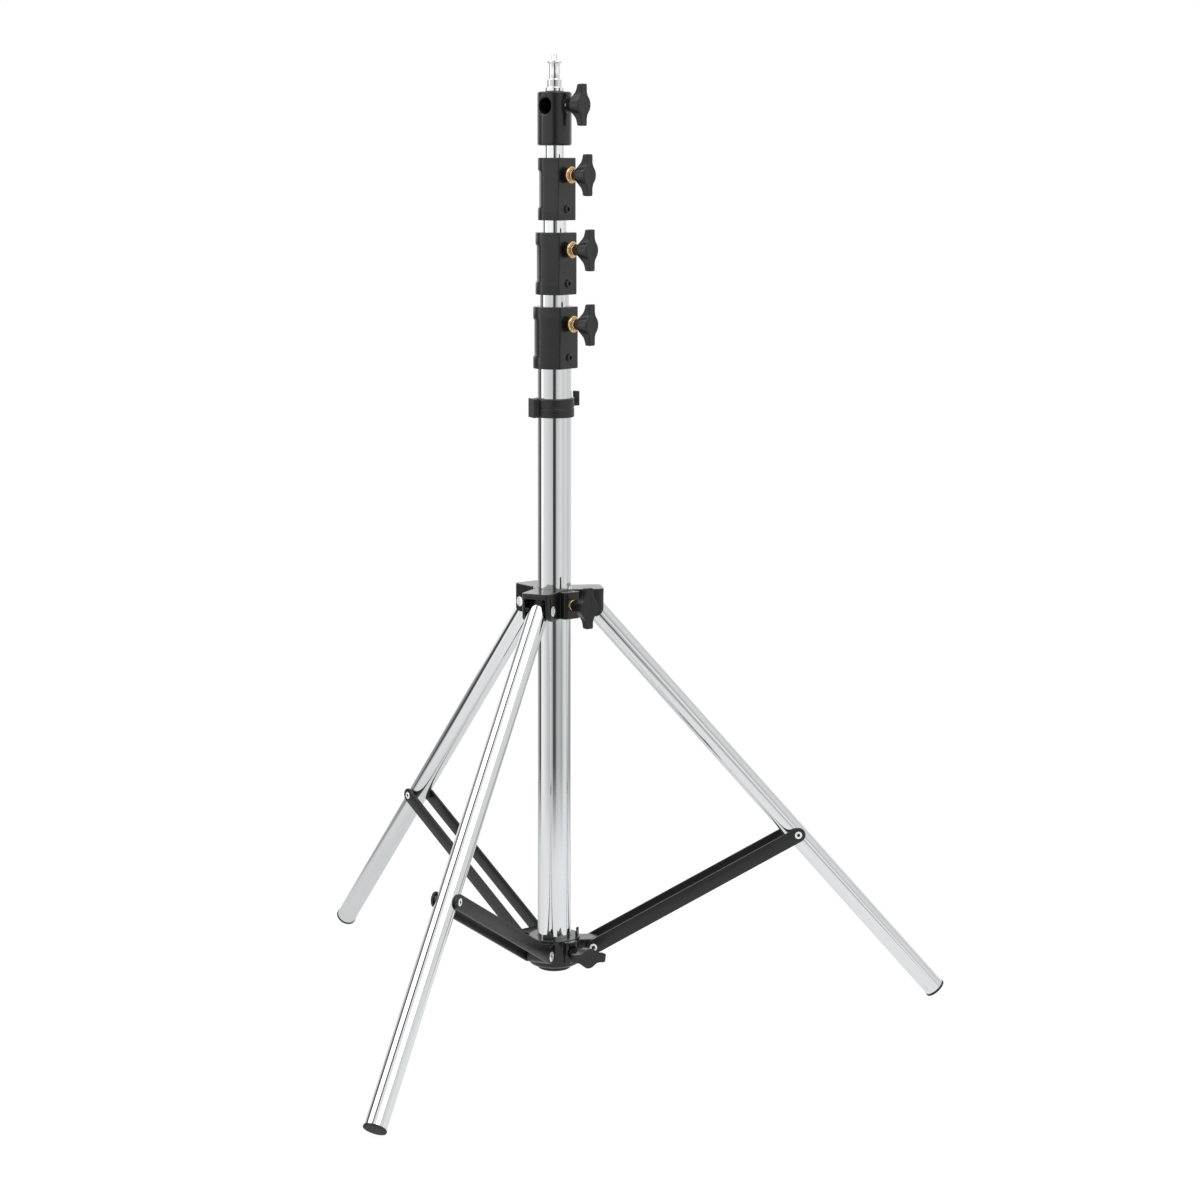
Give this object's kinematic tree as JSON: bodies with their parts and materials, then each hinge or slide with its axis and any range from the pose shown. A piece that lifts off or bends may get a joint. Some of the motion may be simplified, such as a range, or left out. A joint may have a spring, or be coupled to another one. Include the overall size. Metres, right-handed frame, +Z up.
{
  "type": "air-cushioned light stand",
  "caption": "Black and chrome light stand: three folding braced legs, a telescoping mast with wing-knob collars and a top casting with a stud.",
  "frame": {"origin": "on the floor under the axis of the column", "axes": "+Z up along the column, +X towards leg 1; legs 2 and 3 follow at 120 and 240 degrees"},
  "size_m": [0.6412, 0.7366, 1.0038],
  "materials": {
    "chrome_tube": "polished chrome plate on steel tube",
    "bright_rivet": "bright zinc, hollow ends",
    "steel": "turned steel, bright",
    "black_casting": "satin black powder coat on a casting",
    "black_bar": "satin black paint on steel bar",
    "knob_plastic": "moulded black plastic, fine grain",
    "nylon": "moulded nylon",
    "brass": "turned and polished",
    "rubber": "black rubber, fine texture"
  },
  "bodies": {
    "column": {"column_tube": "chrome_tube", "column_plug": "rubber", "base_casting": "black_casting", "base_bush": "brass", "base_rivets": "bright_rivet", "collar_1": "black_casting", "collar_1_bush": "brass", "collar_1_guide": "nylon", "collar_1_set_screw": "black_casting"},
    "riser_1": {"riser_1_tube": "chrome_tube", "riser_1_piston": "nylon", "riser_1_seal": "rubber", "collar_2": "black_casting", "collar_2_bush": "brass", "collar_2_guide": "nylon", "collar_2_set_screw": "black_casting"},
    "riser_2": {"riser_2_tube": "chrome_tube", "riser_2_piston": "nylon", "riser_2_seal": "rubber", "collar_3": "black_casting", "collar_3_bush": "brass", "collar_3_guide": "nylon", "collar_3_set_screw": "black_casting"},
    "riser_3": {"riser_3_tube": "chrome_tube", "riser_3_piston": "nylon", "riser_3_seal": "rubber", "top_casting": "black_casting"},
    "spigot": {"spigot": "steel"},
    "hub": {"hub_casting": "black_casting", "hub_bush": "brass", "hub_rivets": "bright_rivet", "hub_top_screw": "steel"},
    "clip": {"clip": "knob_plastic"},
    "leg_1": {"leg_1_tube": "chrome_tube", "leg_1_foot": "rubber", "leg_1_sleeves": "steel"},
    "brace_1": {"brace_1_bars": "black_bar", "brace_1_rivets": "bright_rivet"},
    "collar_1_knob": {"collar_1_knob": "knob_plastic", "collar_1_screw": "steel"},
    "leg_2": {"leg_2_tube": "chrome_tube", "leg_2_foot": "rubber", "leg_2_sleeves": "steel"},
    "brace_2": {"brace_2_bars": "black_bar", "brace_2_rivets": "bright_rivet"},
    "collar_2_knob": {"collar_2_knob": "knob_plastic", "collar_2_screw": "steel"},
    "leg_3": {"leg_3_tube": "chrome_tube", "leg_3_foot": "rubber", "leg_3_sleeves": "steel"},
    "brace_3": {"brace_3_bars": "black_bar", "brace_3_rivets": "bright_rivet"},
    "collar_3_knob": {"collar_3_knob": "knob_plastic", "collar_3_screw": "steel"},
    "top_knob": {"top_knob": "knob_plastic", "top_screw": "steel"},
    "hub_knob": {"hub_knob": "knob_plastic", "hub_screw": "steel"},
    "base_knob": {"base_knob": "knob_plastic", "base_screw": "steel"}
  },
  "joints": [
    {"name": "riser_1_slide", "type": "slide", "parent": "column", "child": "riser_1", "axis": [0, 0, 1], "range_m": [0, 0.63]},
    {"name": "riser_2_slide", "type": "slide", "parent": "riser_1", "child": "riser_2", "axis": [0, 0, 1], "range_m": [0, 0.68]},
    {"name": "riser_3_slide", "type": "slide", "parent": "riser_2", "child": "riser_3", "axis": [0, 0, 1], "range_m": [0, 0.73]},
    {"name": "spigot_lift", "type": "slide", "parent": "riser_3", "child": "spigot", "axis": [0, 0, 1], "range_m": [0, 0.03]},
    {"name": "hub_slide", "type": "slide", "parent": "column", "child": "hub", "axis": [0, 0, 1], "range_m": [0, 0.2062]},
    {"name": "clip_slide", "type": "slide", "parent": "column", "child": "clip", "axis": [0, 0, 1], "range_m": [0, 0.0305]},
    {"name": "leg_1_pivot", "type": "hinge", "parent": "hub", "child": "leg_1", "pos_m": [0.0398, 0, 0.4354], "axis": [0, 1, 0], "range_deg": [0, 32.46]},
    {"name": "brace_1_pivot", "type": "hinge", "parent": "column", "child": "brace_1", "pos_m": [0.0398, 0, 0.0706], "axis": [0, -1, 0], "range_deg": [0, 50.63]},
    {"name": "leg_2_pivot", "type": "hinge", "parent": "hub", "child": "leg_2", "pos_m": [-0.0199, 0.03447, 0.4354], "axis": [-0.866, -0.5, 0], "range_deg": [0, 32.46]},
    {"name": "brace_2_pivot", "type": "hinge", "parent": "column", "child": "brace_2", "pos_m": [-0.0199, 0.03447, 0.0706], "axis": [0.866, 0.5, 0], "range_deg": [0, 50.63]},
    {"name": "leg_3_pivot", "type": "hinge", "parent": "hub", "child": "leg_3", "pos_m": [-0.0199, -0.03447, 0.4354], "axis": [0.866, -0.5, 0], "range_deg": [0, 32.46]},
    {"name": "brace_3_pivot", "type": "hinge", "parent": "column", "child": "brace_3", "pos_m": [-0.0199, -0.03447, 0.0706], "axis": [-0.866, 0.5, 0], "range_deg": [0, 50.63]},
    {"name": "collar_1_knob_turn", "type": "hinge", "parent": "column", "child": "collar_1_knob", "pos_m": [0.0231, -0.02215, 0.7289], "axis": [0.7218, -0.6921, 0], "range_deg": [0, 270]},
    {"name": "collar_2_knob_turn", "type": "hinge", "parent": "riser_1", "child": "collar_2_knob", "pos_m": [0.02165, -0.02076, 0.8049], "axis": [0.7218, -0.6921, 0], "range_deg": [0, 270]},
    {"name": "collar_3_knob_turn", "type": "hinge", "parent": "riser_2", "child": "collar_3_knob", "pos_m": [0.02093, -0.02007, 0.8809], "axis": [0.7218, -0.6921, 0], "range_deg": [0, 270]},
    {"name": "top_knob_turn", "type": "hinge", "parent": "riser_3", "child": "top_knob", "pos_m": [0.01804, -0.0173, 0.9517], "axis": [0.7218, -0.6921, 0], "range_deg": [0, 270]},
    {"name": "hub_knob_turn", "type": "hinge", "parent": "hub", "child": "hub_knob", "pos_m": [0.0225, -0.03897, 0.4393], "axis": [0.5, -0.866, 0], "range_deg": [0, 270]},
    {"name": "base_knob_turn", "type": "hinge", "parent": "column", "child": "base_knob", "pos_m": [0.023, -0.03984, 0.0706], "axis": [0.5, -0.866, 0], "range_deg": [0, 270]}
  ],
  "couplings": [
    {"joint": "clip_slide", "follows": "hub_slide", "ratio": 0.14791},
    {"joint": "leg_1_pivot", "follows": "hub_slide", "rad_per_m": 2.7476},
    {"joint": "brace_1_pivot", "follows": "hub_slide", "rad_per_m": 4.2858},
    {"joint": "leg_2_pivot", "follows": "hub_slide", "rad_per_m": 2.7476},
    {"joint": "brace_2_pivot", "follows": "hub_slide", "rad_per_m": 4.2858},
    {"joint": "leg_3_pivot", "follows": "hub_slide", "rad_per_m": 2.7476},
    {"joint": "brace_3_pivot", "follows": "hub_slide", "rad_per_m": 4.2858}
  ]
}
